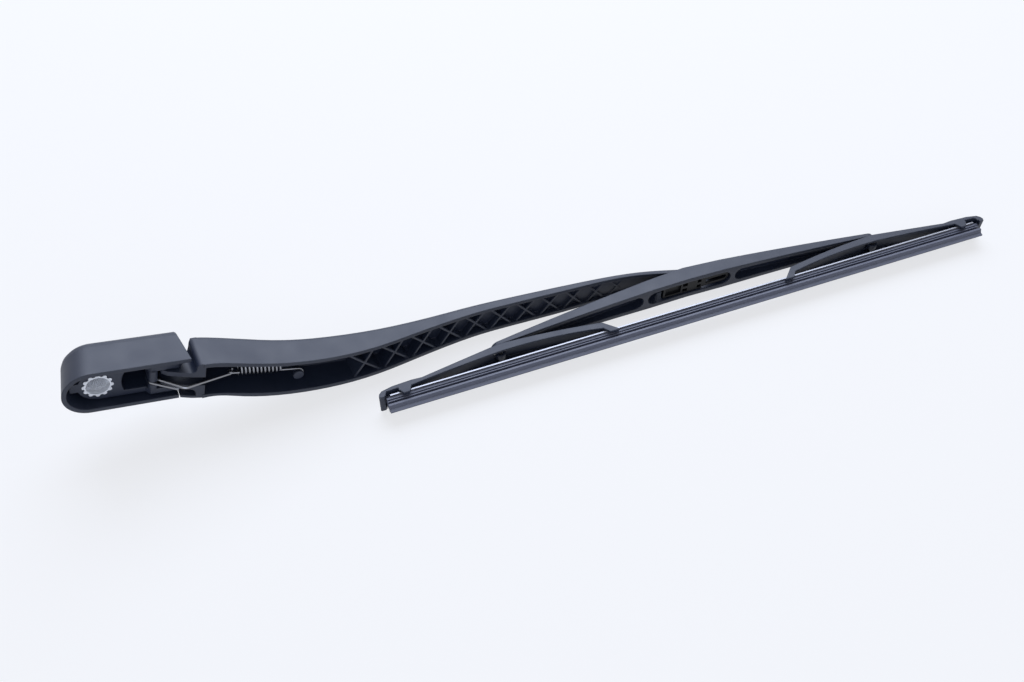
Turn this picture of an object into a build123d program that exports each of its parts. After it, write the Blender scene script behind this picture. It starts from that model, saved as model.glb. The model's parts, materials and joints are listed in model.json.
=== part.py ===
"""Rear window wiper: a moulded arm with its head, spring and cover, and a two-yoke blade.

Millimetres. The origin is the middle of the spindle bore at its mouth. -Y points at the
glass, +X runs along the blade and +Z goes across it. The arm hangs at its stop, as it does
off the car.
"""

import os
from math import acos, atan2, cos, degrees, hypot, pi, radians, sin, tan

from build123d import *

# Head: the distances run along the head from the spindle, and heights away from the glass
head_lean = 15.7
hub_radius = 10.0
hub_face = 0.4
hub_height = 9.5
hub_flank = 14.0
window_arc = 17.0
window_start = 11.8
rail_inner = 6.8
rail_thickness = 3.6
rail_drop = 2.2
rail_drop_start = 24.0
rail_end = 42.6
latch_width = 6.0
latch_height = 3.5
latch_gap = 2.3

# Spindle bush, moulded into the head
bush_radius = 6.8
bush_lobes = 12
bush_lobe_radius = 1.15
bush_stand = 0.6
bore_radius = 6.0
bore_land = 3.0
bore_small_radius = 5.1

# Cover over the spindle nut
cover_radius = 14.5
cover_round_centre = -4.0
cover_wall = 2.4
cover_rim = 4.5
cover_depth = 25.2
cover_lean = 9.0
cover_end_rim = 46.3
cover_end_back = 42.4
cover_edge_radius = 6.0
cover_edge_steps = 4
notch_start = 40.6
notch_height = 5.0

# Hinge between the head, the arm and the cover
hinge_distance = 40.0
hinge_height = 13.0
hinge_boss_radius = 3.6
hinge_pin_diameter = 4.0
hinge_pin_length = 16.8
stud_gap = 0.3
running_clearance = 0.05
wire_sides = 6
turn_steps = 12

# Wire link and its pin
link_pin_distance = 27.5
link_pin_height = -0.5
link_pin_diameter = 2.0
link_pin_length = 11.0
lug_radius = 2.4
lug_reach = 7.0
link_plane = -2.0
link_wire = 1.5
link_gap = 0.3
link_knee_distance = 42.5
link_knee_height = -9.6
link_knee_radius = 4.0
link_tail = 3.0
link_peg_reach = 4.6
link_peg_bend = 1.6

# Tension spring
spring_wire = 1.3
spring_mean_radius = 3.55
spring_pitch = 2.1
spring_turns = 11
spring_start = 71.5
hook_reach = 3.0
hook_clearance = 0.15

# Arm: each station gives its share of the way from the shoulder to the tip, its sideways
# place, half its width, and the heights of its open edge and of its back
arm_root_distance = 52.0
arm_root_half_width = 13.0
arm_root_open_edge = -9.0
arm_root_back = 14.4
arm_tip_half_width = 4.0
arm_tip_thickness = 2.8
arm_tip_reach = 5.5
arm_sections = 16
arm_stations = (
    (0.054, -18.5, 12.9, -11.8, 10.3),
    (0.158, -27.5, 12.7, -17.2, 2.8),
    (0.287, -34.2, 12.0, -19.3, -2.7),
    (0.405, -37.4, 11.2, -16.8, -5.8),
    (0.524, -38.7, 10.3, -15.7, -8.0),
    (0.710, -39.3, 9.6, -21.4, -16.0),
    (0.845, -39.7, 8.2, -25.8, -22.6),
    (0.919, -40.0, 5.7, -30.4, -26.6),
)
arm_side_wall = 2.4
arm_back_wall = 1.8
arm_edge_radius = 3.5
arm_edge_share = 0.4
arm_edge_steps = 3
arm_rib_start = 136.4
arm_rib_end = 300.0
arm_rib_thickness = 1.2
arm_rib_spacing = 0.78
arm_rib_recess = 1.2
ear_inner = 3.2
ear_thickness = 3.0
ear_front = 31.5
shoulder_start = 48.5
shoulder_radius = 3.0
neck_depth = 7.4
cheek_start = 41.0
cheek_gap = 0.9
post_radius = 2.2
post_head_radius = 3.0
post_head = 1.2
post_length = 12.3
post_distance = 104.0
post_hook_height = -10.4

# Blade: stations run along the blade from its middle, heights away from the rubber's strips
blade_pivot = (340.7, -40.8, -40.0)
blade_yaw = -4.9
blade_shift = -3.5
clip_pin_height = 21.8
clip_pin_diameter = 3.5
bridge_half_length = 130.0
bridge_half_width = 8.0
bridge_end_half_width = 4.6
bridge_flat = 25.0
bridge_back = 27.8
bridge_end_back = 15.1
bridge_mid_back = 21.5
bridge_open_edge = 17.9
bridge_end_open_edge = 13.1
bridge_mid_open_edge = 15.8
bridge_wall = 1.8
bridge_rim = 3.0
crossbar_left = 27.5
crossbar_right = 29.0
crossbar_width = 3.0
window_left = 17.3
window_right = 17.5
tongue_half_width = 1.8

# Clip between the arm's tip and the bridge
clip_half_width = 4.4
clip_height = 5.8
clip_front = 7.0
clip_rear = 8.0
clip_tongue_end = 25.0
clip_tongue_half_width = 3.4
clip_tongue_thickness = 1.6
clip_frame_end = 20.0
clip_bar = 1.4
clip_tray = 0.8

# Yokes: distances are those of the right yoke, and the left one mirrors them. The setbacks of
# the outer claw and of the hood's window run in from the hood's end
yoke_pivot_setback = 4.0
yoke_pivot_height = 9.1
yoke_pin_diameter = 2.6
yoke_pin_seat = 0.8
yoke_boss_radius = 2.7
yoke_half_width = 6.2
yoke_inner_half_width = 4.95
yoke_roof = 1.5
yoke_back = 12.6
yoke_open_edge = 7.3
claw_drop = 1.7
claw_inner = 55.5
claw_length = 6.0
claw_setback = 18.5
claw_hook = 1.1
claw_grip = 1.2
hood_back = 4.4
hood_round = 2.5
hood_window_setback = 12.0
hood_post = 4.0
hood_wall = 3.2
left_hood_stop = 0.6
right_hood_stop = 1.6

# Rubber and its two strips
rubber_length = 395.0
rubber_end_gap = 0.8
strip_setback = 2.5
strip_thickness = 0.9
strip_inner = 1.5
strip_outer = 4.65
groove_clearance = 0.05
flange_half_width = 3.5
rubber_back = 2.2
lip_drop = 8.2

os.makedirs("parts", exist_ok=True)


def save(builder: BuildPart, name: str):
    """Label a finished piece and write it."""
    builder.part.label = name
    export_step(builder.part, f"parts/{name}.step")


# Reference planes of the head: seen from the glass, and seen along the hinge
along_head = Vector(cos(radians(head_lean)), 0, -sin(radians(head_lean)))
across_head = Vector(sin(radians(head_lean)), 0, cos(radians(head_lean)))
head_plan = Plane(origin=(0, 0, 0), x_dir=along_head, z_dir=(0, -1, 0))
head_side = Plane(origin=(0, 0, 0), x_dir=along_head, z_dir=across_head)
hinge = (hinge_distance, hinge_height)
link_pin_place = (link_pin_distance, link_pin_height)
cover_back = cover_depth - cover_rim


def cover_slabs(wall: float, reach: float) -> list:
    """Sketch the cover's outline from its rim up over its rounded back, moved in by a wall.

    The outline leans along the head as it rises, and the rounding goes in straight steps.
    """
    radius = cover_edge_radius - wall
    rows = [(-cover_rim, wall)]
    for i in range(cover_edge_steps + 1):
        turn = pi / 2 * i / cover_edge_steps
        rows.append((cover_back - wall - radius * (1 - sin(turn)), wall + radius * (1 - cos(turn))))
    slabs = []
    for height, inset in rows:
        lean = (height + cover_rim) * tan(radians(cover_lean))
        with BuildSketch(head_plan.offset(-height)) as slab:
            with Locations((cover_round_centre + lean, 0)):
                Circle(cover_radius - inset)
                Rectangle(reach, 2 * (cover_radius - inset), align=(Align.MIN, Align.CENTER))
        slabs.append(slab.sketch)
    return slabs


# Cover: an open-bottomed shell with one round end, mitred where it meets the arm
with BuildPart() as cover_hollow:
    loft(cover_slabs(cover_wall, cover_end_rim + cover_radius), ruled=True)

with BuildPart() as head_cover:
    loft(cover_slabs(0, cover_end_rim - cover_round_centre), ruled=True)
    add(cover_hollow.part, mode=Mode.SUBTRACT)
    with BuildSketch(head_side):
        with BuildLine():
            Polyline(
                (cover_end_rim, -cover_rim),
                (cover_end_back, cover_back),
                (cover_end_back, cover_back + cover_wall),
                (cover_end_rim + cover_radius, cover_back + cover_wall),
                (cover_end_rim + cover_radius, -cover_rim),
                close=True,
            )
        make_face()
    extrude(amount=cover_radius, both=True, mode=Mode.SUBTRACT)
    with BuildSketch(head_side):
        with BuildLine():
            Polyline(
                (notch_start, -cover_rim),
                (notch_start, notch_height),
                (cover_end_rim, notch_height + cover_end_rim - notch_start),
                (cover_end_rim, -cover_rim),
                close=True,
            )
        make_face()
    extrude(amount=-cover_radius, mode=Mode.SUBTRACT)
    for side in (1, -1):
        with BuildSketch(head_side.offset(side * (hinge_pin_length / 2 + stud_gap))):
            with Locations(hinge):
                Circle(hinge_pin_diameter / 2 - running_clearance)
        extrude(amount=side * (cover_radius - cover_wall / 2 - hinge_pin_length / 2 - stud_gap))
save(head_cover, "head_cover")


# Head body: a hub round the bush, two rails that reach to the hinge, and lugs for the link
with BuildPart() as head_body:
    with BuildSketch(head_plan.offset(-hub_face)):
        Circle(hub_radius)
        Rectangle(hub_flank, 2 * hub_radius, align=(Align.MIN, Align.CENTER))
        with Locations((window_start + window_arc, 0)):
            Circle(window_arc, mode=Mode.SUBTRACT)
    extrude(amount=-hub_height)
    with BuildSketch(head_plan.offset(-hub_face)):
        with Locations((cover_round_centre - cover_radius + cover_wall + latch_gap, 0)):
            Rectangle(
                hub_radius - bush_radius + latch_width / 2,
                latch_width,
                align=(Align.MIN, Align.CENTER),
            )
    extrude(amount=-latch_height)
    for side in (1, -1):
        with BuildSketch(head_side.offset(side * rail_inner)):
            with BuildLine():
                Polyline(
                    (0, hub_face + hub_height),
                    (0, hub_face),
                    (rail_drop_start, hub_face),
                    (rail_drop_start + rail_drop, -rail_drop),
                    (rail_end - rail_drop, -rail_drop),
                    (rail_end, 0),
                    (hinge_distance + hinge_boss_radius, hinge_height),
                    (hinge_distance, hinge_height + hinge_boss_radius),
                    (hinge_distance - hinge_boss_radius, hinge_height + hinge_boss_radius),
                    close=True,
                )
            make_face()
            with Locations(hinge):
                Circle(hinge_boss_radius)
        extrude(amount=side * rail_thickness)
    for side in (1, -1):
        tip = link_plane + side * (link_wire / 2 + link_gap)
        with BuildSketch(head_side.offset(tip)):
            with Locations(link_pin_place):
                Circle(lug_radius)
                Rectangle(2 * lug_radius, lug_reach, align=(Align.CENTER, Align.MIN))
        extrude(amount=side * rail_inner - tip)
    with BuildSketch(head_plan):
        Circle(bush_radius)
    extrude(amount=-hub_height - hub_face, mode=Mode.SUBTRACT)
    with BuildSketch(head_side):
        with Locations(hinge):
            Circle(hinge_pin_diameter / 2)
    extrude(amount=cover_radius, both=True, mode=Mode.SUBTRACT)
    with BuildSketch(head_side):
        with Locations(link_pin_place):
            Circle(link_pin_diameter / 2)
    extrude(amount=link_pin_length / 2, both=True, mode=Mode.SUBTRACT)
save(head_body, "head_body")

# Bush: lobed outside, a land at the mouth and a cone behind it
with BuildPart() as spindle_bush:
    with BuildSketch(head_plan):
        Circle(bush_radius)
    extrude(amount=-hub_face - hub_height - bush_stand)
    with BuildSketch(head_plan):
        Circle(bush_radius)
        with PolarLocations(bush_radius, bush_lobes):
            Circle(bush_lobe_radius)
    extrude(amount=-hub_face)
    with BuildSketch(head_side):
        with BuildLine():
            Polyline(
                (0, 0),
                (bore_radius, 0),
                (bore_radius, bore_land),
                (bore_small_radius, hub_face + hub_height + bush_stand),
                (0, hub_face + hub_height + bush_stand),
                close=True,
            )
        make_face()
    revolve(axis=Axis.Y, mode=Mode.SUBTRACT)
save(spindle_bush, "spindle_bush")

with BuildPart() as hinge_pin:
    with BuildSketch(head_side):
        with Locations(hinge):
            Circle(hinge_pin_diameter / 2)
    extrude(amount=hinge_pin_length / 2, both=True)
save(hinge_pin, "hinge_pin")

with BuildPart() as link_pin:
    with BuildSketch(head_side):
        with Locations(link_pin_place):
            Circle(link_pin_diameter / 2)
    extrude(amount=link_pin_length / 2, both=True)
save(link_pin, "link_pin")


def tangent_place(centre: tuple, radius: float, point: tuple, turn: int) -> tuple:
    """Give the place on a circle where a line from a point outside touches it."""
    reach = (point[0] - centre[0], point[1] - centre[1])
    angle = atan2(reach[1], reach[0]) + turn * acos(radius / hypot(*reach))
    return (centre[0] + radius * cos(angle), centre[1] + radius * sin(angle))


# Pull line from the link pin to the arm's post: the spring's two hooks lie along it
pull_slope = (post_hook_height - link_pin_height) / (post_distance - link_pin_distance)
pull = Vector(1, pull_slope, 0).normalized()
hook_middle = (spring_start, link_pin_height + pull_slope * (spring_start - link_pin_distance))
eye_peg_radius = link_wire / 2 + spring_wire / 2 + hook_clearance
eye_post_radius = post_radius + spring_wire / 2 + hook_clearance
peg = (
    hook_middle[0] - hook_reach * pull.X - eye_peg_radius * pull.Y,
    hook_middle[1] - hook_reach * pull.Y + eye_peg_radius * pull.X,
)
post_ahead = (post_distance - spring_start) / pull.X


# Wire link: an eye round its pin, two strands down to the knee, one on to the spring's peg
eye_radius = link_pin_diameter / 2 + link_wire / 2 + running_clearance
strand_apart = link_wire + link_gap
knee = (link_knee_distance, link_knee_height)
strand = Vector(knee[0] - link_pin_distance, knee[1] - link_pin_height).normalized()
free_end = (
    knee[0] - link_tail * strand.X + strand_apart * strand.Y,
    knee[1] - link_tail * strand.Y - strand_apart * strand.X,
)
eye_back = tangent_place(link_pin_place, eye_radius, knee, 1)
eye_front = tangent_place(link_pin_place, eye_radius, free_end, -1)
eye_middle_angle = atan2(link_pin_height - link_knee_height, link_pin_distance - link_knee_distance)
eye_middle = (
    link_pin_distance + eye_radius * cos(eye_middle_angle),
    link_pin_height + eye_radius * sin(eye_middle_angle),
)
link_side = head_side.offset(link_plane)
with BuildPart() as spring_link:
    with BuildLine(link_side) as link_path:
        Line(free_end, eye_front)
        ThreePointArc(eye_front, eye_middle, eye_back)
        peg_end = (*peg, link_peg_reach)
        FilletPolyline(eye_back, knee, peg, peg_end, radius=[link_knee_radius, link_peg_bend])
    with BuildSketch(Plane(origin=link_path.line @ 0, z_dir=link_path.line % 0)):
        RegularPolygon(link_wire / 2, wire_sides)
    sweep()
save(spring_link, "spring_link")

# Tension spring: a close coil with a side hook at each end, both on the pull line
pull_world = along_head * pull.X + Vector(0, 1, 0) * pull.Y
lift_world = Vector(0, 1, 0) * pull.X - along_head * pull.Y
hook_origin = head_side.from_local_coords((*hook_middle, 0))
coil_start = hook_origin + lift_world * spring_mean_radius
coil_length = spring_pitch * spring_turns
coil_plane = Plane(origin=coil_start, x_dir=lift_world * -1, z_dir=pull_world)
near_plane = Plane(origin=hook_origin, x_dir=pull_world, z_dir=across_head)
far_plane = Plane(origin=hook_origin, x_dir=pull_world, z_dir=lift_world)
with BuildPart() as tension_spring:
    coil_points = []
    for i in range(spring_turns * turn_steps + 1):
        turn = 2 * pi * i / turn_steps
        around = (spring_mean_radius * cos(turn), spring_mean_radius * sin(turn))
        coil_points.append((*around, spring_pitch * i / turn_steps))
    with BuildLine(coil_plane) as coil_path:
        Polyline(*coil_points)
    with BuildSketch(Plane(origin=coil_path.line @ 0, z_dir=coil_path.line % 0)):
        RegularPolygon(spring_wire / 2, wire_sides)
    sweep(path=coil_path.line, transition=Transition.RIGHT)
    with BuildLine(near_plane) as near_hook:
        Line((spring_wire / 2, 0), (-hook_reach, 0))
        ThreePointArc(
            (-hook_reach, 0),
            (-hook_reach - eye_peg_radius, eye_peg_radius),
            (-hook_reach, 2 * eye_peg_radius),
        )
    with BuildSketch(Plane(origin=near_hook.line @ 0, z_dir=near_hook.line % 0)):
        RegularPolygon(spring_wire / 2, wire_sides)
    sweep(path=near_hook.line)
    with BuildLine(far_plane) as far_hook:
        Line((coil_length - spring_wire / 2, 0), (post_ahead, 0))
        ThreePointArc(
            (post_ahead, 0),
            (post_ahead + eye_post_radius, eye_post_radius),
            (post_ahead, 2 * eye_post_radius),
        )
    with BuildSketch(Plane(origin=far_hook.line @ 0, z_dir=far_hook.line % 0)):
        RegularPolygon(spring_wire / 2, wire_sides)
    sweep(path=far_hook.line)
save(tension_spring, "tension_spring")

# Arm: sections square to its line, lofted from the shoulder to the tip
arm_root = along_head * arm_root_distance
arm_tip_x = blade_pivot[0] + arm_tip_reach
arm_tip_back = blade_pivot[1] + clip_height + arm_tip_thickness / 2
arm_rows = [(arm_root.X, arm_root.Z, arm_root_half_width, arm_root_open_edge, arm_root_back)]
for share, sideways, half_width, open_edge, back in arm_stations:
    station_x = arm_root.X + share * (arm_tip_x - arm_root.X)
    arm_rows.append((station_x, sideways, half_width, open_edge, back))
arm_tip_open_edge = arm_tip_back - arm_tip_thickness
arm_rows.append((arm_tip_x, blade_pivot[2], arm_tip_half_width, arm_tip_open_edge, arm_tip_back))


def arm_row_at(x: float) -> tuple:
    """Interpolate the stations by a cubic through the neighbours of a place along X."""
    after = next(i for i in range(1, len(arm_rows)) if x <= arm_rows[i][0] or i == len(arm_rows) - 1)
    near, far = arm_rows[after - 1], arm_rows[after]
    before = arm_rows[max(after - 2, 0)]
    beyond = arm_rows[min(after + 1, len(arm_rows) - 1)]
    span = far[0] - near[0]
    t = (x - near[0]) / span
    values = [x]
    for k in range(1, len(near)):
        start = span * (far[k] - before[k]) / (far[0] - before[0])
        end = span * (beyond[k] - near[k]) / (beyond[0] - near[0])
        rise = far[k] - near[k]
        bend = 3 * rise - 2 * start - end
        values.append(near[k] + t * start + t**2 * bend + t**3 * (start + end - 2 * rise))
    return tuple(values)


arm_step = (arm_tip_x - arm_root.X) / (arm_sections - 1)
arm_places = [arm_root.X + arm_step * i for i in range(arm_sections)]


def arm_heading_at(x: float) -> Vector:
    """Give the direction of the arm's line, which leaves the shoulder along the head."""
    if x == arm_root.X:
        return along_head
    return Vector(2, 0, arm_row_at(x + 1)[1] - arm_row_at(x - 1)[1]).normalized()


def arm_corner(side: int, half_width: float, back: float, radius: float) -> list:
    """Give the straight steps of the rounding between one side of the arm and its back."""
    turns = [pi / 2 * i / arm_edge_steps for i in range(arm_edge_steps + 1)]
    return [(back - radius * (1 - sin(t)), side * (half_width - radius * (1 - cos(t)))) for t in turns]


with BuildPart() as arm_outside:
    for x in arm_places:
        _, sideways, half_width, open_edge, back = arm_row_at(x)
        radius = min(arm_edge_radius, (back - open_edge) * arm_edge_share)
        section_plane = Plane(origin=(x, 0, sideways), x_dir=(0, 1, 0), z_dir=arm_heading_at(x))
        with BuildSketch(section_plane):
            with BuildLine():
                Polyline(
                    (open_edge, half_width),
                    *arm_corner(1, half_width, back, radius),
                    *reversed(arm_corner(-1, half_width, back, radius)),
                    (open_edge, -half_width),
                    close=True,
                )
            make_face()
    loft()

# Hollow of the channel: its side walls and its back keep their thickness along the arm
arm_plan = Plane(origin=(0, 0, 0), x_dir=(1, 0, 0), z_dir=(0, -1, 0))
upper_wall = []
lower_wall = []
hollow_roof = []
for x in arm_places[:-1]:
    _, sideways, half_width, _, back = arm_row_at(x)
    heading = arm_heading_at(x)
    inner = half_width - arm_side_wall
    upper_wall.append((x - inner * heading.Z, sideways + inner * heading.X))
    lower_wall.append((x + inner * heading.Z, sideways - inner * heading.X))
    hollow_roof.append((x, back - arm_back_wall))
with BuildPart() as arm_hollow:
    with BuildSketch(arm_plan):
        with BuildLine():
            Polyline(*upper_wall, *reversed(lower_wall), close=True)
        make_face()
    extrude(amount=-2 * blade_pivot[1], both=True)
    with BuildSketch(Plane.XY):
        with BuildLine():
            Polyline(
                (0, arm_root_back - arm_back_wall),
                *hollow_roof,
                (arm_places[-2], 2 * blade_pivot[1]),
                (0, 2 * blade_pivot[1]),
                close=True,
            )
        make_face()
    extrude(amount=2 * cover_depth - blade_pivot[2], both=True, mode=Mode.INTERSECT)

# Crossed ribs stand in the hollow, a little below its open edge
with BuildPart() as arm_ribs:
    with BuildSketch(arm_plan):
        rib_x = arm_rib_start
        while rib_x < arm_rib_end:
            _, rib_z, rib_half, _, _ = arm_row_at(rib_x)
            rib_run = 2 * rib_half * arm_rib_spacing
            rib_tilt = degrees(atan2(2 * rib_half, rib_run))
            with Locations((rib_x, rib_z)):
                Rectangle(hypot(2 * rib_half, rib_run), arm_rib_thickness, rotation=rib_tilt)
                Rectangle(hypot(2 * rib_half, rib_run), arm_rib_thickness, rotation=-rib_tilt)
            rib_x += rib_run
    extrude(amount=-blade_pivot[1], both=True)
    with BuildSketch(Plane.XY):
        with BuildLine():
            Polyline(
                *[(row[0], row[3] + arm_rib_recess) for row in arm_rows],
                (arm_rows[-1][0], cover_depth),
                (arm_rows[0][0], cover_depth),
                close=True,
            )
        make_face()
    extrude(amount=2 * cover_depth - blade_pivot[2], both=True, mode=Mode.INTERSECT)

with BuildPart() as arm_pockets:
    add(arm_hollow.part)
    add(arm_ribs.part, mode=Mode.SUBTRACT)

# Ears and shoulder at the arm's root, on the hinge pin between the head's rails
with BuildPart() as arm_ears:
    for side in (1, -1):
        with BuildSketch(head_plan.offset(-arm_root_open_edge + ear_thickness)) as ear_plan:
            with Locations((ear_front, side * (ear_inner + ear_thickness / 2))):
                Rectangle(arm_root_distance + 1 - ear_front, ear_thickness, align=(Align.MIN, Align.CENTER))
            with Locations((shoulder_start, side * (ear_inner + arm_root_half_width) / 2)):
                Rectangle(
                    arm_root_distance + 1 - shoulder_start,
                    arm_root_half_width - ear_inner,
                    align=(Align.MIN, Align.CENTER),
                )
            outer_corner = (shoulder_start, side * arm_root_half_width)
            fillet(ear_plan.vertices().sort_by_distance(outer_corner)[0], shoulder_radius)
            inner_corner = (shoulder_start, side * (ear_inner + ear_thickness))
            fillet(ear_plan.vertices().sort_by_distance(inner_corner)[0], ear_thickness)
        extrude(amount=-2 * cover_depth)
    with BuildSketch(head_plan.offset(-arm_root_open_edge + ear_thickness)):
        with Locations((cheek_start, -arm_root_half_width)):
            Rectangle(
                arm_root_distance + 1 - cheek_start,
                arm_root_half_width - rail_inner - rail_thickness - cheek_gap,
                align=(Align.MIN, Align.MIN),
            )
    extrude(amount=arm_root_open_edge - ear_thickness - notch_height + cheek_gap)
    with BuildSketch(head_side):
        with BuildLine():
            Polyline(
                (arm_root_distance + 2, arm_root_open_edge),
                (shoulder_start - 2, arm_root_open_edge + 1.5),
                (ear_front + ear_thickness, arm_root_open_edge + 5.5),
                (ear_front, arm_root_open_edge + 8),
                (ear_front, arm_root_open_edge + 13),
                (hinge_distance - hinge_boss_radius, hinge_height),
                hinge,
                (hinge_distance + 1.9, hinge_height - 4.4),
                (hinge_distance + 3.7, hinge_height - neck_depth),
                (hinge_distance + 6, hinge_height - neck_depth + 0.9),
                (shoulder_start, hinge_height - 2.1),
                (arm_root_distance - 1, arm_root_back),
                (arm_root_distance + 2, arm_root_back),
                close=True,
            )
        make_face()
        with Locations(hinge):
            Circle(hinge_boss_radius)
    extrude(amount=2 * cover_radius, both=True, mode=Mode.INTERSECT)
    with BuildSketch(Plane(origin=arm_root, x_dir=(0, 1, 0), z_dir=along_head)):
        for side in (1, -1):
            with BuildLine():
                Polyline(
                    (arm_root_back, side * arm_root_half_width),
                    *arm_corner(side, arm_root_half_width, arm_root_back, arm_edge_radius),
                    close=True,
                )
            make_face()
    extrude(amount=arm_root_distance - shoulder_start, both=True, mode=Mode.SUBTRACT)

# Frame of the blade: along it, away from the glass and across
along_blade = Vector(cos(radians(blade_yaw)), sin(radians(blade_yaw)), 0)
off_glass = Vector(-sin(radians(blade_yaw)), cos(radians(blade_yaw)), 0)
clip_foot = Vector(blade_pivot) - off_glass * clip_pin_height
clip_side = Plane(origin=clip_foot, x_dir=along_blade, z_dir=(0, 0, 1))
clip_plan = Plane(origin=clip_foot, x_dir=along_blade, z_dir=off_glass * -1)
blade_middle = clip_foot + along_blade * blade_shift
blade_side = Plane(origin=blade_middle, x_dir=along_blade, z_dir=(0, 0, 1))
blade_plan = Plane(origin=blade_middle, x_dir=along_blade, z_dir=off_glass * -1)
blade_section = Plane(origin=blade_middle, x_dir=off_glass, z_dir=along_blade)
clip_top = clip_pin_height + clip_height / 2
clip_base = clip_pin_height - clip_height / 2

with BuildPart() as wiper_arm:
    add(arm_outside.part)
    add(arm_pockets.part, mode=Mode.SUBTRACT)
    add(arm_ears.part)
    with BuildSketch(head_plan.offset(spring_wire - post_hook_height)):
        with Locations((post_distance, -eye_post_radius)):
            Circle(post_radius)
    extrude(amount=-post_length)
    with BuildSketch(head_plan.offset(spring_wire - post_hook_height)):
        with Locations((post_distance, -eye_post_radius)):
            Circle(post_head_radius)
    extrude(amount=post_head)
    with BuildSketch(clip_side):
        with Locations((0, clip_top)):
            Rectangle(clip_front + clip_rear - 3, clip_height, align=(Align.CENTER, Align.MIN))
    extrude(amount=clip_half_width - 0.6, both=True)
    with BuildSketch(head_side):
        with Locations(hinge):
            Circle(hinge_pin_diameter / 2 + running_clearance)
    extrude(amount=cover_radius, both=True, mode=Mode.SUBTRACT)
save(wiper_arm, "wiper_arm")

# Stations along the blade: the hoods close over the rubber's ends, the pivots sit in the bridge's
yoke_pivot = bridge_half_length - yoke_pivot_setback
hood_end = rubber_length / 2 + rubber_end_gap + hood_wall
claw_outer = hood_end - claw_setback
hood_window = hood_end - hood_window_setback
strip_length = rubber_length - 2 * strip_setback

# Bridge: the blade's main lever, open to the glass, with cross bars round its middle window
bridge_half_span = bridge_half_length - bridge_end_half_width
bridge_mid = (bridge_flat + bridge_half_span) / 2
pocket_end = yoke_pivot - 2 * yoke_boss_radius


def bridge_half_width_at(station: float) -> float:
    """Half the bridge's width at a distance from the blade's middle."""
    share = max(0, abs(station) - bridge_flat) / (bridge_half_span - bridge_flat)
    return bridge_half_width + share * (bridge_end_half_width - bridge_half_width)


def bridge_profile(roof: float, floor: float) -> Sketch:
    """Sketch the bridge from its side: an arched back over an arched open edge."""
    reach = bridge_half_length + bridge_wall
    back_left = (-reach, bridge_end_back - roof)
    back_top = (0, bridge_back - roof)
    back_right = (reach, bridge_end_back - roof)
    edge_left = (-reach, bridge_end_open_edge - floor)
    edge_top = (0, bridge_open_edge - floor)
    edge_right = (reach, bridge_end_open_edge - floor)
    with BuildSketch(blade_side) as profile:
        with BuildLine():
            ThreePointArc(back_left, (-bridge_mid, bridge_mid_back - roof), back_top)
            ThreePointArc(back_top, (bridge_mid, bridge_mid_back - roof), back_right)
            Line(back_right, edge_right)
            ThreePointArc(edge_right, (bridge_mid, bridge_mid_open_edge - floor), edge_top)
            ThreePointArc(edge_top, (-bridge_mid, bridge_mid_open_edge - floor), edge_left)
            Line(edge_left, back_left)
        make_face()
    return profile.sketch


with BuildPart() as bridge_hollow:
    with BuildSketch(blade_plan):
        for side, bar in ((-1, crossbar_left + crossbar_width), (1, crossbar_right + crossbar_width)):
            wide = bridge_half_width_at(bar) - bridge_rim
            narrow = bridge_half_width_at(pocket_end) - bridge_wall
            near_lip = (side * (bar + wide), -wide)
            far_lip = (side * (bar + wide), wide)
            with BuildLine():
                ThreePointArc(near_lip, (side * bar, 0), far_lip)
                Polyline(
                    far_lip,
                    (side * pocket_end, narrow),
                    (side * pocket_end, -narrow),
                    near_lip,
                )
            make_face()
        with Locations(((crossbar_right - crossbar_left) / 2, 0)):
            SlotOverall(crossbar_left + crossbar_right, 2 * (bridge_half_width - bridge_rim))
    extrude(amount=-bridge_back)
    extrude(
        bridge_profile(bridge_wall, bridge_back - bridge_open_edge),
        amount=bridge_half_width,
        both=True,
        mode=Mode.INTERSECT,
    )

with BuildPart() as blade_bridge:
    with BuildSketch(blade_plan):
        with BuildLine():
            Polyline(
                (-bridge_half_span, -bridge_end_half_width),
                (-bridge_flat, -bridge_half_width),
                (bridge_flat, -bridge_half_width),
                (bridge_half_span, -bridge_end_half_width),
                (bridge_half_span, bridge_end_half_width),
                (bridge_flat, bridge_half_width),
                (-bridge_flat, bridge_half_width),
                (-bridge_half_span, bridge_end_half_width),
                close=True,
            )
        make_face()
        with Locations((bridge_half_span, 0), (-bridge_half_span, 0)):
            Circle(bridge_end_half_width)
    extrude(amount=-bridge_back)
    extrude(bridge_profile(0, 0), amount=bridge_half_width, both=True, mode=Mode.INTERSECT)
    add(bridge_hollow.part, mode=Mode.SUBTRACT)
    with BuildSketch(blade_plan.offset(-bridge_open_edge)):
        with Locations(((window_right - window_left) / 2, 0)):
            Rectangle(window_left + window_right, 2 * (clip_half_width + 0.3))
    extrude(amount=-bridge_back, mode=Mode.SUBTRACT)
    for side in (1, -1):
        with BuildSketch(blade_side):
            with Locations((side * yoke_pivot, yoke_pivot_height)):
                Circle(yoke_boss_radius)
                Rectangle(
                    2 * yoke_boss_radius,
                    bridge_end_back - bridge_wall / 2 - yoke_pivot_height,
                    align=(Align.CENTER, Align.MIN),
                )
        extrude(amount=tongue_half_width, both=True)
        with BuildSketch(blade_side):
            with Locations((side * yoke_pivot, yoke_pivot_height)):
                Circle(yoke_pin_diameter / 2 + running_clearance)
        extrude(amount=bridge_half_width, both=True, mode=Mode.SUBTRACT)
    with BuildSketch(clip_side):
        with Locations((0, clip_pin_height)):
            Circle(clip_pin_diameter / 2)
    extrude(amount=bridge_half_width - bridge_wall / 3, both=True, mode=Mode.SUBTRACT)
save(blade_bridge, "blade_bridge")

with BuildPart() as clip_pin:
    with BuildSketch(clip_side):
        with Locations((0, clip_pin_height)):
            Circle(clip_pin_diameter / 2)
    extrude(amount=bridge_half_width - bridge_wall / 3, both=True)
save(clip_pin, "clip_pin")

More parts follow.
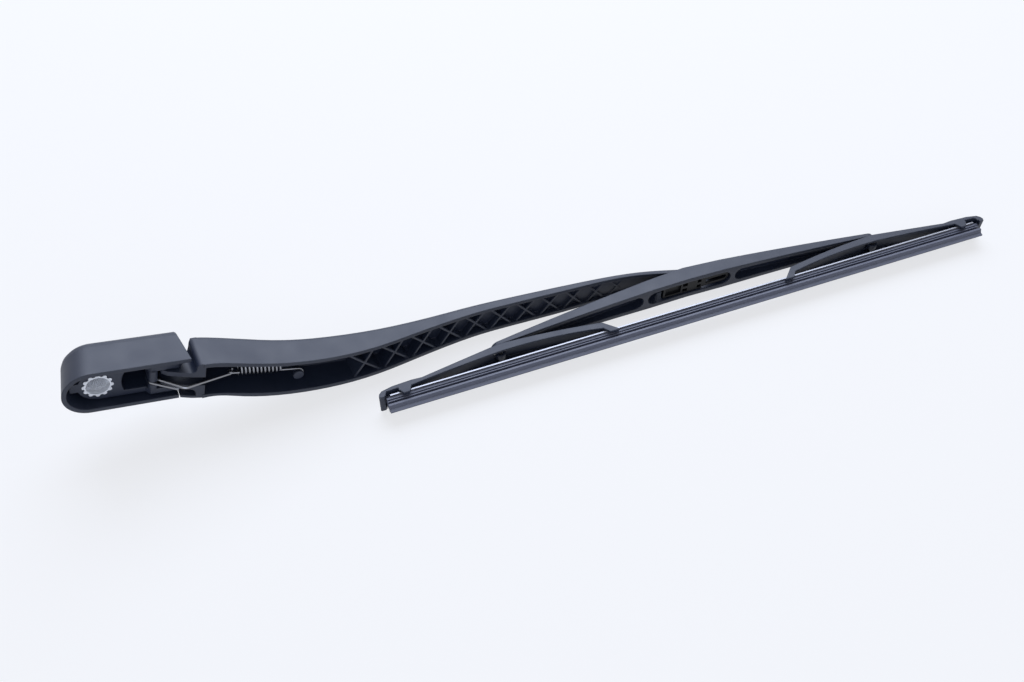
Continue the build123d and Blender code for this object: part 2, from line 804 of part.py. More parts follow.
# Clip: a block on the clip pin, a spring tongue on one side and a framed tray on the other
with BuildPart() as blade_clip:
    with BuildSketch(clip_side):
        with Locations(((clip_front - clip_rear) / 2, clip_pin_height)):
            RectangleRounded(clip_front + clip_rear, clip_height, 0.8)
    extrude(amount=clip_half_width, both=True)
    with BuildSketch(clip_plan.offset(-clip_base)):
        tongue_run = clip_tongue_end - clip_tongue_half_width
        with Locations((clip_front - 1, 0)):
            Rectangle(
                tongue_run - clip_front + 1,
                2 * clip_tongue_half_width,
                align=(Align.MIN, Align.CENTER),
            )
        with Locations((tongue_run, 0)):
            Circle(clip_tongue_half_width)
            Circle(clip_tongue_half_width - 1.8, mode=Mode.SUBTRACT)
        with Locations((clip_front + 2, 0)):
            Rectangle(
                tongue_run - clip_front - 2,
                2 * (clip_tongue_half_width - 1.8),
                align=(Align.MIN, Align.CENTER),
                mode=Mode.SUBTRACT,
            )
        with Locations((-clip_frame_end, 0)):
            Rectangle(clip_frame_end - clip_rear + 1, 2 * clip_half_width, align=(Align.MIN, Align.CENTER))
        with Locations((-clip_frame_end + clip_bar, 0)):
            Rectangle(
                clip_frame_end - clip_rear - clip_bar,
                2 * (clip_half_width - clip_bar),
                align=(Align.MIN, Align.CENTER),
                mode=Mode.SUBTRACT,
            )
    extrude(amount=-clip_tongue_thickness)
    with BuildSketch(clip_plan.offset(-clip_base - clip_tongue_thickness)):
        with Locations((-clip_frame_end, 0)):
            Rectangle(clip_frame_end - clip_rear + 1, 2 * clip_half_width, align=(Align.MIN, Align.CENTER))
    extrude(amount=-clip_tray)
    with BuildSketch(clip_plan.offset(-clip_base)):
        for lane in (1, -1):
            with Locations((-clip_rear / 2 - 1.2, lane * clip_half_width / 2)):
                Rectangle(3.4, clip_half_width - 2)
            with Locations((clip_front / 2 + 1, lane * clip_half_width / 2)):
                Rectangle(2.6, clip_half_width - 2)
    extrude(amount=-clip_height * 0.6, mode=Mode.SUBTRACT)
    with BuildSketch(clip_side):
        with Locations((0, clip_pin_height)):
            Circle(clip_pin_diameter / 2 + running_clearance)
    extrude(amount=bridge_half_width, both=True, mode=Mode.SUBTRACT)
save(blade_clip, "blade_clip")


def yoke_back_curve(side: int, roof: float):
    """Draw the back of a yoke from its inner claw to its hood."""
    inner = (side * (claw_inner + claw_length + 2), hood_back + 1.8 - roof)
    middle = (side * yoke_pivot, yoke_back - roof)
    outer = (side * (claw_outer - claw_length - 2), hood_back + 0.8 - roof)
    inner_bow = (side * (yoke_pivot + claw_inner + claw_length) / 2, yoke_back - 2.3 - roof)
    outer_bow = (side * (yoke_pivot + claw_outer - claw_length) / 2, yoke_back - 3.8 - roof)
    ThreePointArc(inner, inner_bow, middle)
    ThreePointArc(middle, outer_bow, outer)
    return inner, outer


def build_yoke(side: int, stop: float) -> BuildPart:
    """Make one yoke: a channel on its pivot, two pairs of claws and a hood over the rubber's end.

    Args:
        side: 1 for the right yoke, -1 for the left one.
        stop: how far the wall in front of the rubber's end reaches past the strips.
    """
    with BuildPart() as channel:
        with BuildSketch(blade_side):
            with BuildLine():
                inner, outer = yoke_back_curve(side, yoke_roof)
                Polyline(
                    outer,
                    (side * (hood_end - hood_wall), hood_back - yoke_roof - 0.4),
                    (side * (hood_end - hood_wall), -lip_drop),
                    (side * (claw_inner - claw_length), -lip_drop),
                    (side * (claw_inner - claw_length), rubber_back + 0.4),
                    (side * (claw_inner + 1), rubber_back + 0.4),
                    inner,
                )
            make_face()
        extrude(amount=yoke_inner_half_width, both=True)
    with BuildPart() as yoke:
        with BuildSketch(blade_side):
            with BuildLine():
                inner, outer = yoke_back_curve(side, 0)
                edge_middle = (side * yoke_pivot, yoke_open_edge)
                edge_inner = (side * (claw_inner + claw_length + 3), rubber_back)
                edge_outer = (side * (claw_outer - 1), rubber_back)
                Polyline(
                    outer,
                    (side * (claw_outer - 2), hood_back + 1.2),
                    (side * (hood_window + 3), hood_back + 0.6),
                    (side * (hood_end - hood_round), hood_back - hood_round / 3),
                    (side * (hood_end - hood_round / 4), hood_back - hood_round),
                    (side * hood_end, 0),
                    (side * (hood_end - hood_round / 4), -stop),
                    (side * (hood_end - hood_wall), -stop),
                    (side * (hood_end - hood_wall), 0),
                    (side * (claw_outer + claw_length), 1),
                    (side * (claw_outer + claw_length - 1.5), -claw_drop),
                    (side * (claw_outer + 1), -claw_drop),
                    edge_outer,
                )
                ThreePointArc(
                    edge_outer,
                    ((edge_outer[0] + edge_middle[0]) / 2, yoke_open_edge - 2.2),
                    edge_middle,
                )
                ThreePointArc(
                    edge_middle,
                    ((edge_inner[0] + edge_middle[0]) / 2, yoke_open_edge - 0.9),
                    edge_inner,
                )
                Polyline(
                    edge_inner,
                    (side * (claw_inner + claw_length), -claw_drop),
                    (side * claw_inner, -claw_drop),
                    inner,
                )
            make_face()
        extrude(amount=yoke_half_width, both=True)
        add(channel.part, mode=Mode.SUBTRACT)
        with BuildSketch(blade_side):
            with BuildLine():
                Polyline(
                    (side * hood_window, -strip_thickness),
                    (side * hood_window, hood_back - yoke_roof),
                    (side * (hood_end - hood_post - 1), hood_back - yoke_roof - 0.3),
                    (side * (hood_end - hood_post), strip_thickness),
                    (side * (hood_end - hood_post), -strip_thickness),
                    close=True,
                )
            make_face()
        extrude(amount=bridge_half_width, both=True, mode=Mode.SUBTRACT)
        for start in (claw_inner, claw_outer + 1):
            for lane in (1, -1):
                with BuildSketch(blade_side.offset(lane * (yoke_inner_half_width - claw_hook))):
                    with Locations((side * (start + claw_length / 2 - 1), -claw_drop)):
                        Rectangle(claw_length - 3, claw_grip, align=(Align.CENTER, Align.MIN))
                extrude(amount=lane * (claw_hook + 0.4))
        with BuildSketch(blade_plan.offset(-yoke_pivot_height)):
            with Locations((side * yoke_pivot, 0)):
                Rectangle(2 * yoke_boss_radius + 1.6, 2 * tongue_half_width + 0.8)
        extrude(amount=-yoke_back, mode=Mode.SUBTRACT)
        with BuildSketch(blade_side):
            with Locations((side * yoke_pivot, yoke_pivot_height)):
                Circle(yoke_pin_diameter / 2)
        extrude(amount=yoke_inner_half_width + yoke_pin_seat, both=True, mode=Mode.SUBTRACT)
    return yoke


def build_yoke_pin(side: int) -> BuildPart:
    """Make the pin that carries one yoke on the bridge."""
    with BuildPart() as pin:
        with BuildSketch(blade_side):
            with Locations((side * yoke_pivot, yoke_pivot_height)):
                Circle(yoke_pin_diameter / 2)
        extrude(amount=yoke_inner_half_width + yoke_pin_seat, both=True)
    return pin


left_yoke = build_yoke(-1, left_hood_stop)
save(left_yoke, "left_yoke")
right_yoke = build_yoke(1, right_hood_stop)
save(right_yoke, "right_yoke")
left_yoke_pin = build_yoke_pin(-1)
save(left_yoke_pin, "left_yoke_pin")
right_yoke_pin = build_yoke_pin(1)
save(right_yoke_pin, "right_yoke_pin")

# Rubber: flanges round the strips' grooves, a neck, a body and the wiping lip
groove = strip_thickness + 2 * groove_clearance
with BuildPart() as wiper_rubber:
    with BuildSketch(blade_section.offset(-rubber_length / 2)):
        with BuildLine():
            Polyline(
                (rubber_back, 0),
                (rubber_back, flange_half_width - 1.1),
                (groove, flange_half_width - 0.9),
                (groove, strip_inner - groove_clearance),
                (0, strip_inner - groove_clearance),
                (0, flange_half_width),
                (-1.5, flange_half_width),
                (-1.6, 2),
                (-2.0, 2),
                (-2.1, 3.1),
                (-2.7, 3.1),
                (-2.8, 0.9),
                (-3.9, 0.9),
                (-4.1, 3),
                (-5.4, 3),
                (-6.4, 0.75),
                (-lip_drop, 0.4),
                (-lip_drop, 0),
            )
            mirror(about=Plane.XZ)
        make_face()
    extrude(amount=rubber_length)
save(wiper_rubber, "wiper_rubber")


def build_strip(side: int) -> BuildPart:
    """Make one of the flat steel strips in the rubber's grooves."""
    with BuildPart() as strip:
        with BuildSketch(blade_section.offset(-strip_length / 2)):
            with Locations((groove / 2, side * (strip_inner + strip_outer) / 2)):
                Rectangle(strip_thickness, strip_outer - strip_inner)
        extrude(amount=strip_length)
    return strip


upper_spline = build_strip(1)
save(upper_spline, "upper_spline")
lower_spline = build_strip(-1)
save(lower_spline, "lower_spline")
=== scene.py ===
"""Looks of a rear window wiper: moulded arm, sprung head and two-yoke blade on a pale floor."""

import json
import logging
import math
from dataclasses import dataclass, field
from enum import Enum

import bpy
import numpy as np
from mathutils import Matrix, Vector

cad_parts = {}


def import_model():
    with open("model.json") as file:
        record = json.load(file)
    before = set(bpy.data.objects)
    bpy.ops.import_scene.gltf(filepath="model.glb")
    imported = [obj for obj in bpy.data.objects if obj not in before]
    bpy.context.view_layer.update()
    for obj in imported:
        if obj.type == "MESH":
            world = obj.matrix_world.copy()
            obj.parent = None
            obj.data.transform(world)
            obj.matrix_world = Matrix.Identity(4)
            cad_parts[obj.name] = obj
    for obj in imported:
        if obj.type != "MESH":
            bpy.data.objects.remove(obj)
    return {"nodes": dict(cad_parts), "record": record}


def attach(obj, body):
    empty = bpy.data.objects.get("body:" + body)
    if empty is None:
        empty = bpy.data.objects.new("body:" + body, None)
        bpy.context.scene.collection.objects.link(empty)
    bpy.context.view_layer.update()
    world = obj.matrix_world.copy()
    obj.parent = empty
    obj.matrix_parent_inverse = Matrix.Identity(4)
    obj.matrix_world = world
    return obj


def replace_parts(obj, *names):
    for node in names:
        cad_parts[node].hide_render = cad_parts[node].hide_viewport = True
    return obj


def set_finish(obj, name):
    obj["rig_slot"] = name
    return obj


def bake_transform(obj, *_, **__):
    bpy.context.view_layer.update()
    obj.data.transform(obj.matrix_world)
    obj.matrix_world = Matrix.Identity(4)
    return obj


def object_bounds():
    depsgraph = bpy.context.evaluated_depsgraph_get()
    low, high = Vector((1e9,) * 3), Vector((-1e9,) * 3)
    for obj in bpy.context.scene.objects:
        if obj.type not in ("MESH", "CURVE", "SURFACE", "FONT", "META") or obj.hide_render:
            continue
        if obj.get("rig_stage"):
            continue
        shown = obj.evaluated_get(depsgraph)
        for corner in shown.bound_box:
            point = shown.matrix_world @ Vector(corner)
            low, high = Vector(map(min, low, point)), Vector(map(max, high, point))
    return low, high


log = logging.getLogger("wiper")
MM = 0.001
TURN = 2 * math.pi
BOTH_ENDS = (True, True)


class Side(Enum):
    """The two halves of the blade, by their direction along it."""

    LEFT = -1
    RIGHT = 1

    @property
    def word(self) -> str:
        """Give the word for object and body names.

        Returns:
            The name in lower case.
        """
        return self.name.lower()


class Slot(str, Enum):
    """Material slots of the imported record."""

    MOULDED = "moulded_black"
    CLIP = "clip_black"
    BUSH = "bush_aluminium"
    PINS = "steel_pins"
    WIRE = "steel_wire"
    STRIP = "steel_strip"
    RUBBER = "wiping_rubber"


def linear(hex_colour: str) -> tuple[float, float, float, float]:
    """Turn an sRGB hex colour into linear light.

    Args:
        hex_colour: six hex digits, without a hash sign.

    Returns:
        Red, green, blue and alpha, linear.
    """
    parts = [int(hex_colour[i : i + 2], 16) / 255 for i in (0, 2, 4)]
    light = [c / 12.92 if c <= 0.04045 else ((c + 0.055) / 1.055) ** 2.4 for c in parts]
    return (light[0], light[1], light[2], 1.0)


def add_node(tree: bpy.types.NodeTree, kind: str, *first: object, **named: object) -> bpy.types.Node:
    """Add a shader node and set or link its inputs.

    Args:
        tree: the node tree that gets the node.
        kind: Blender's node type name.
        first: values or sockets to link from, for the first inputs in their order.
        named: values or sockets to link from, by input name with underscores for spaces.

    Returns:
        The new node.
    """
    node = tree.nodes.new(kind)
    by_name = [(node.inputs[name.replace("_", " ")], value) for name, value in named.items()]
    for socket, value in [*zip(node.inputs, first), *by_name]:
        if isinstance(value, bpy.types.NodeSocket):
            tree.links.new(value, socket)
        else:
            socket.default_value = value
    return node


@dataclass(frozen=True)
class Finish:
    """A surface: a base colour, a gloss that wanders in clouds, and a fine relief from its process.

    Args:
        name: the real material and its process.
        colour: sRGB hex of the base.
        roughness: mean roughness.
        metallic: 1 for bare metal.
        grain_mm: size of the relief's grain.
        relief_mm: depth of the relief.
        mottle: how far the roughness wanders.
        cloud_mm: size of the clouds in which it wanders.
        edge_mm: radius of the softened edges that a tool leaves.
        specular: strength of the surface's own mirror sheen.
    """

    name: str
    colour: str
    roughness: float
    metallic: float = 0.0
    grain_mm: float = 0.4
    relief_mm: float = 0.01
    mottle: float = 0.08
    cloud_mm: float = 12.0
    edge_mm: float = 0.25
    specular: float = 0.5

    def material(self) -> bpy.types.Material:
        """Build the node tree.

        Returns:
            The finished material.
        """
        material = bpy.data.materials.new(self.name)
        material.use_nodes = True
        tree = material.node_tree
        tree.nodes.clear()
        place = add_node(tree, "ShaderNodeTexCoord").outputs["Object"]
        grain_scale = 1 / (self.grain_mm * MM)
        cloud_scale = 1 / (self.cloud_mm * MM)
        grain = add_node(tree, "ShaderNodeTexNoise", Vector=place, Scale=grain_scale, Detail=3.0)
        cloud = add_node(tree, "ShaderNodeTexNoise", Vector=place, Scale=cloud_scale, Detail=2.0)
        wander = add_node(
            tree,
            "ShaderNodeMapRange",
            Value=cloud.outputs[0],
            To_Min=self.roughness - self.mottle,
            To_Max=self.roughness + self.mottle,
        )
        edge = add_node(tree, "ShaderNodeBevel", Radius=self.edge_mm * MM)
        relief = add_node(
            tree,
            "ShaderNodeBump",
            Strength=1.0,
            Distance=self.relief_mm * MM,
            Height=grain.outputs[0],
            Normal=edge.outputs[0],
        )
        surface = add_node(
            tree,
            "ShaderNodeBsdfPrincipled",
            Base_Color=linear(self.colour),
            Metallic=self.metallic,
            Roughness=wander.outputs[0],
            Specular_IOR_Level=self.specular,
            Normal=relief.outputs[0],
        )
        add_node(tree, "ShaderNodeOutputMaterial", Surface=surface.outputs[0])
        return material


# Grained black polypropylene: a dull, slightly cloudy sheen on the lit walls.
MOULDED = Finish("polypropylene_spark_grained", "1e2638", 0.5, relief_mm=0.02, grain_mm=0.35, edge_mm=0.8)
# Smooth black acetal of the clip: darker and duller than the arm.
CLIP = Finish("acetal_injection_moulded", "0e0f12", 0.5, relief_mm=0.004, grain_mm=1.0, specular=0.25)
# Die-cast aluminium, near white and dull: partly the metal's own pale tone, partly painted light that
# keeps the shaded bore bright inside.
BUSH = Finish("aluminium_die_cast_painted_light", "f4f6fa", 0.45, metallic=0.1, relief_mm=0.008, grain_mm=0.6)
# Phosphated steel pins: dark grey and dull, so that the pivots stay quiet.
PINS = Finish("steel_phosphated", "44464b", 0.45, metallic=1.0, relief_mm=0.003, grain_mm=0.5)
# Drawn spring wire: mid-grey metal with narrow highlights.
WIRE = Finish("spring_steel_drawn", "85878d", 0.32, metallic=1.0, relief_mm=0.004, grain_mm=0.8)
# Rolled steel strip: the bright line along the blade.
STRIP = Finish("stainless_strip_rolled", "8e9097", 0.42, metallic=1.0, relief_mm=0.003, grain_mm=1.5)
# Graphite-coated rubber: mid-grey and dull.
RUBBER = Finish("natural_rubber_coated", "5c6070", 0.5, relief_mm=0.006, grain_mm=0.5, edge_mm=0.12)
FINISHES = {
    Slot.MOULDED: MOULDED,
    Slot.CLIP: CLIP,
    Slot.BUSH: BUSH,
    Slot.PINS: PINS,
    Slot.WIRE: WIRE,
    Slot.STRIP: STRIP,
    Slot.RUBBER: RUBBER,
}


@dataclass(frozen=True)
class Axes:
    """A right-handed set of unit directions with an origin, in metres.

    Args:
        origin: where it sits.
        x: first direction.
        y: second direction.
        z: third direction.
    """

    origin: np.ndarray
    x: np.ndarray
    y: np.ndarray
    z: np.ndarray

    def at(self, a: np.ndarray, b: np.ndarray, c: np.ndarray) -> np.ndarray:
        """Place local millimetres in the row frame.

        Args:
            a: along x.
            b: along y.
            c: along z.

        Returns:
            Points in metres, with the coordinates last.
        """
        a, b, c = np.broadcast_arrays(a, b, c)
        local = a[..., None] * self.x + b[..., None] * self.y + c[..., None] * self.z
        return self.origin + MM * local

    def along(self, a: float) -> tuple[float, float, float]:
        """Place one point on the x direction.

        Args:
            a: millimetres along x.

        Returns:
            The point in metres.
        """
        return tuple(self.at(np.array(float(a)), np.array(0.0), np.array(0.0)))

    def matrix(self) -> Matrix:
        """Give the same axes to Blender.

        Returns:
            The world matrix of an object that stands on them.
        """
        world = np.eye(4)
        world[:3] = np.column_stack([self.x, self.y, self.z, self.origin])
        return Matrix(world.tolist())


@dataclass
class Sheets:
    """Grid surfaces gathered into one mesh.

    Args:
        name: the object's name.
        points: blocks of vertices.
        faces: blocks of quad indices.
        caps: end polygons.
        count: number of vertices so far.
    """

    name: str
    points: list[np.ndarray] = field(default_factory=list)
    faces: list[np.ndarray] = field(default_factory=list)
    caps: list[list[int]] = field(default_factory=list)
    count: int = 0

    def tube(self, block: np.ndarray, cap: tuple[bool, bool] = (False, False)) -> None:
        """Add a grid of rows by columns as quads, with its last column joined to the first.

        Args:
            block: vertices, rows by columns by three.
            cap: whether the first and last rows are closed by a polygon.
        """
        rows, columns = block.shape[:2]
        index = self.count + np.arange(rows * columns).reshape(rows, columns)
        far = np.roll(index, -1, axis=1)
        quads = np.stack([index[:-1], far[:-1], far[1:], index[1:]], axis=-1)
        self.points.append(block.reshape(-1, 3))
        self.faces.append(quads.reshape(-1, 4))
        if cap[0]:
            self.caps.append(index[0][::-1].tolist())
        if cap[1]:
            self.caps.append(index[-1].tolist())
        self.count += rows * columns

    def build(self, slot: Slot, smooth_deg: float) -> bpy.types.Object:
        """Make the object, shaded smooth below an angle.

        Args:
            slot: the record's slot whose finish it takes.
            smooth_deg: edges sharper than this stay crisp.

        Returns:
            The object, at the origin.
        """
        mesh = bpy.data.meshes.new(self.name)
        quads = np.concatenate(self.faces).tolist()
        mesh.from_pydata(np.concatenate(self.points).tolist(), [], quads + self.caps)
        mesh.validate()
        mesh.update()
        mesh.shade_smooth()
        mesh.set_sharp_from_angle(angle=math.radians(smooth_deg))
        item = bpy.data.objects.new(self.name, mesh)
        bpy.context.scene.collection.objects.link(item)
        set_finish(item, slot.value)
        return item


@dataclass
class Head:
    """The head's frame, and the knurl pressed into the spindle bush.

    Args:
        lean_deg: how far the head leans from the blade's line.
        mouth_radius: bore radius at its mouth, in mm.
        land: length of the cylindrical mouth.
        small_radius: bore radius at the back.
        depth: length of the bore.
        teeth: number of ridges of the knurl.
        ridge: height of a ridge.
        run_in: length over which the ridges rise.
        clearance: how far the knurl stands off the bore's wall.
        tooth_steps: points round one ridge.
        rows: points along the bore.
    """

    lean_deg: float = 15.7
    mouth_radius: float = 6.0
    land: float = 3.0
    small_radius: float = 5.1
    depth: float = 10.5
    teeth: int = 36
    ridge: float = 0.35
    run_in: float = 1.0
    clearance: float = 0.01
    tooth_steps: int = 8
    rows: int = 12

    def side(self) -> Axes:
        """Axes along the head, away from the glass and across.

        Returns:
            The head's axes.
        """
        lean = math.radians(self.lean_deg)
        along = np.array([math.cos(lean), 0, -math.sin(lean)])
        across = np.array([math.sin(lean), 0, math.cos(lean)])
        return Axes(np.zeros(3), along, np.array([0, 1.0, 0]), across)

    def knurl(self) -> bpy.types.Object:
        """Ridges along the bore's cone: r(y, t) = cone(y) - ridge * rise(y) * (1 - |cos(teeth * t / 2)|).

        Returns:
            The knurl, riding on the head.
        """
        turn = np.linspace(0, TURN, self.teeth * self.tooth_steps, endpoint=False)[None, :]
        deep = np.linspace(self.land, self.depth, self.rows)[:, None]
        slope = (self.small_radius - self.mouth_radius) / (self.depth - self.land)
        cone = self.mouth_radius + slope * (deep - self.land)
        rise = np.clip((deep - self.land) / self.run_in, 0.05, 1)
        ripple = 1 - np.abs(np.cos(self.teeth * turn / 2))
        radius = cone - self.clearance - self.ridge * rise * ripple
        sheet = Sheets("bore_knurl")
        sheet.tube(self.side().at(radius * np.cos(turn), deep, radius * np.sin(turn)))
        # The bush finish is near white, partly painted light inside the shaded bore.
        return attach(sheet.build(Slot.BUSH, smooth_deg=40), "head")


@dataclass
class PullSpring:
    """The coil spring between the link's peg and the arm's post.

    Args:
        head: the head, for its axes.
        pin: the link pin's place along and off the head, in mm.
        post: the place where the far hook meets the post.
        start: where the coil starts along the head.
        wire: diameter of the wire.
        radius: mean radius of the coil.
        pitch: advance of one turn.
        turns: number of turns.
        reach: length of the near hook's straight.
        peg_eye: radius of the near eye.
        post_eye: radius of the far eye.
        wire_sides: points round the wire.
        turn_steps: steps in one turn.
        straight_steps: points along a straight.
        eye_steps: points along an eye's half circle.
    """

    head: Head
    pin: tuple[float, float] = (27.5, -0.5)
    post: tuple[float, float] = (104.0, -10.4)
    start: float = 71.5
    wire: float = 1.3
    radius: float = 3.55
    pitch: float = 2.1
    turns: int = 11
    reach: float = 3.0
    peg_eye: float = 1.55
    post_eye: float = 3.0
    wire_sides: int = 14
    turn_steps: int = 32
    straight_steps: int = 12
    eye_steps: int = 17

    def axes(self) -> Axes:
        """Axes along the pull, away from the glass and across, from the coil's start.

        Returns:
            The spring's axes.
        """
        side = self.head.side()
        run = np.array([self.post[0] - self.pin[0], self.post[1] - self.pin[1]])
        run = run / np.linalg.norm(run)
        along = run[0] * side.x + run[1] * side.y
        lift = run[0] * side.y - run[1] * side.x
        height = self.pin[1] + run[1] / run[0] * (self.start - self.pin[0])
        origin = side.at(np.array(self.start), np.array(height), np.array(0.0))
        return Axes(origin, along, lift, side.z)

    def build(self) -> bpy.types.Object:
        """Tubes round a helix, two straights and two half circles.

        Helix: c(t) = R (cos t, sin t) about the axis, advancing pitch * t / 2 pi, with the wire's
        circle in the plane of the radial direction and the binormal. Straights: circle swept along x.
        Eyes: a torus patch (R + r cos p)(cos t, sin t), r sin p.

        Returns:
            The spring, from the link's peg to its far hook.
        """
        axes = self.axes()
        thin = self.wire / 2
        around = np.linspace(0, TURN, self.wire_sides, endpoint=False)[None, :]
        ring_out, ring_up = thin * np.cos(around), thin * np.sin(around)
        coil = self.turns * self.pitch
        post_at = (self.post[0] - self.start) / float(axes.x @ self.head.side().x)
        sheet = Sheets("pull_spring")
        t = np.linspace(0, TURN * self.turns, self.turns * self.turn_steps + 1)[:, None]
        lead = self.pitch / TURN
        size = math.hypot(self.radius, lead)
        out = self.radius + ring_out
        x = lead * t + ring_up * self.radius / size
        y = self.radius - out * np.cos(t) - ring_up * lead / size * np.sin(t)
        z = -out * np.sin(t) + ring_up * lead / size * np.cos(t)
        sheet.tube(axes.at(x, y, z), BOTH_ENDS)
        for begin, end in ((-self.reach, thin), (coil - thin, post_at)):
            x = np.linspace(begin, end, self.straight_steps)[:, None]
            sheet.tube(axes.at(x, ring_out, ring_up), BOTH_ENDS)
        t = np.linspace(0, math.pi, self.eye_steps)[:, None]
        eye = self.peg_eye + ring_out
        near = axes.at(-self.reach - eye * np.sin(t), self.peg_eye - eye * np.cos(t), ring_up)
        sheet.tube(near, BOTH_ENDS)
        eye = self.post_eye + ring_out
        far = axes.at(post_at + eye * np.sin(t), ring_up, eye * np.cos(t) - self.post_eye)
        sheet.tube(far, BOTH_ENDS)
        spring = sheet.build(Slot.WIRE, smooth_deg=60)
        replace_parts(spring, "tension_spring")
        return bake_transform(spring, "link", "spring", axes.along(0), axes.along(coil))


@dataclass
class Blade:
    """The rubber and its strips, in two halves.

    Args:
        pivot: the blade's pivot in the row frame, in mm.
        yaw_deg: the blade's turn about the vertical.
        pivot_height: height of the pivot above the strips.
        shift: where the rubber's middle lies along the blade from the pivot.
        half_length: half the rubber's length.
        strip_half: half the strips' length.
        claw: distance of the yokes' inner claws from the middle.
        strip_height: where a strip's faces lie off the glass.
        strip_reach: where its edges lie across.
        steps: points along a half.
    """

    pivot: tuple[float, float, float] = (340.7, -40.8, -40.0)
    yaw_deg: float = -4.9
    pivot_height: float = 21.8
    shift: float = -3.5
    half_length: float = 197.5
    strip_half: float = 195.0
    claw: float = 58.0
    strip_height: tuple[float, float] = (0.05, 0.95)
    strip_reach: tuple[float, float] = (1.5, 4.65)
    steps: int = 81

    def axes(self) -> Axes:
        """Axes along the blade, away from the glass and across, from the middle of the strips.

        Returns:
            The blade's axes.
        """
        yaw = math.radians(self.yaw_deg)
        along = np.array([math.cos(yaw), math.sin(yaw), 0])
        back = np.array([-math.sin(yaw), math.cos(yaw), 0])
        origin = MM * (np.array(self.pivot) - self.pivot_height * back + self.shift * along)
        return Axes(origin, along, back, np.array([0, 0, 1.0]))

    def section(self) -> np.ndarray:
        """Half outline of the rubber: back, flange, groove, lower flange, neck, body and lip.

        Returns:
            Points off the glass and across, in mm, closed by their mirror image.
        """
        half = np.array(
            [
                (2.2, 2.4),
                (1.0, 2.6),
                (1.0, 1.45),
                (0.0, 1.45),
                (0.0, 3.5),
                (-1.5, 3.5),
                (-1.6, 2.0),
                (-2.0, 2.0),
                (-2.1, 3.1),
                (-2.7, 3.1),
                (-2.8, 0.9),
                (-3.9, 0.9),
                (-4.1, 3.0),
                (-5.4, 3.0),
                (-6.4, 0.75),
                (-8.2, 0.4),
            ]
        )
        return np.concatenate([half, half[::-1] * (1, -1)])

    def strip(self, sign: int) -> np.ndarray:
        """Outline of one steel strip.

        Args:
            sign: 1 for the upper strip, -1 for the lower one.

        Returns:
            Points off the glass and across, in mm, in the same sense as the rubber's.
        """
        low, high = self.strip_height
        inner, outer = self.strip_reach
        outline = np.array([(low, inner), (high, inner), (high, outer), (low, outer)]) * (1, sign)
        return outline if sign < 0 else outline[::-1]

    def sweep(
        self, name: str, outline: np.ndarray, reach: float, side: Side, slot: Slot
    ) -> bpy.types.Object:
        """Sweep an outline along one half: p(s, i) = s * along + outline_i.

        Args:
            name: first word of the object's name.
            outline: points off the glass and across.
            reach: where the half ends.
            side: which half.
            slot: the record's slot.

        Returns:
            The half, from the middle of the blade to its end.
        """
        run = np.linspace(0, reach, self.steps)[:, None] * side.value
        axes = self.axes()
        block = axes.at(run, outline[None, :, 0], outline[None, :, 1])
        if side is Side.LEFT:
            block = block[::-1]
        sheet = Sheets(f"{name}_{side.word}")
        sheet.tube(block[:, ::-1], (side is Side.LEFT, side is Side.RIGHT))
        item = sheet.build(slot, smooth_deg=25)
        end = axes.along(self.claw * side.value)
        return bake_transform(item, "bridge", f"{side.word}_yoke", axes.along(0), end)

    def build(self) -> list[bpy.types.Object]:
        """Make both halves of the rubber and of the two strips.

        Returns:
            The six pieces.
        """
        items = []
        for side in Side:
            rubber = self.sweep("rubber", self.section(), self.half_length, side, Slot.RUBBER)
            items.append(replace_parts(rubber, "wiper_rubber"))
            for word, sign in (("upper", 1), ("lower", -1)):
                outline = self.strip(sign)
                item = self.sweep(f"{word}_strip", outline, self.strip_half, side, Slot.STRIP)
                items.append(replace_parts(item, f"{word}_spline"))
        return items


@dataclass(frozen=True)
class SoftBox:
    """A square lamp behind a diffuser.

    Args:
        name: the lamp's name.
        place: where it hangs, in metres.
        aim: the point that it faces.
        size: its side.
        watts: its power.
    """

    name: str
    place: tuple[float, float, float]
    aim: tuple[float, float, float]
    size: float
    watts: float

    def hang(self, colour: str) -> None:
        """Add the lamp to the scene.

        Args:
            colour: sRGB hex of its light.
        """
        data = bpy.data.lights.new(self.name, "AREA")
        data.shape = "SQUARE"
        data.size = self.size
        data.energy = self.watts
        data.color = linear(colour)[:3]
        item = bpy.data.objects.new(self.name, data)
        z = np.array(self.place) - np.array(self.aim)
        z = z / np.linalg.norm(z)
        x = np.cross((0.0, 1.0, 0.001), z)
        x = x / np.linalg.norm(x)
        item.matrix_world = Axes(np.array(self.place), x, np.cross(z, x), z).matrix()
        bpy.context.scene.collection.objects.link(item)


# Above and behind, in the mirror direction of the up-facing walls: gives them their broad sheen.
OVERHEAD = SoftBox("overhead", (0.65, 0.95, 1.35), (0.2, 0.0, 0.0), 1.7, 37.0)
# Low and in front: opens up the shaded sides a little.
FRONT = SoftBox("front", (-0.2, -1.3, 0.8), (0.15, 0.0, 0.0), 0.8, 4.0)


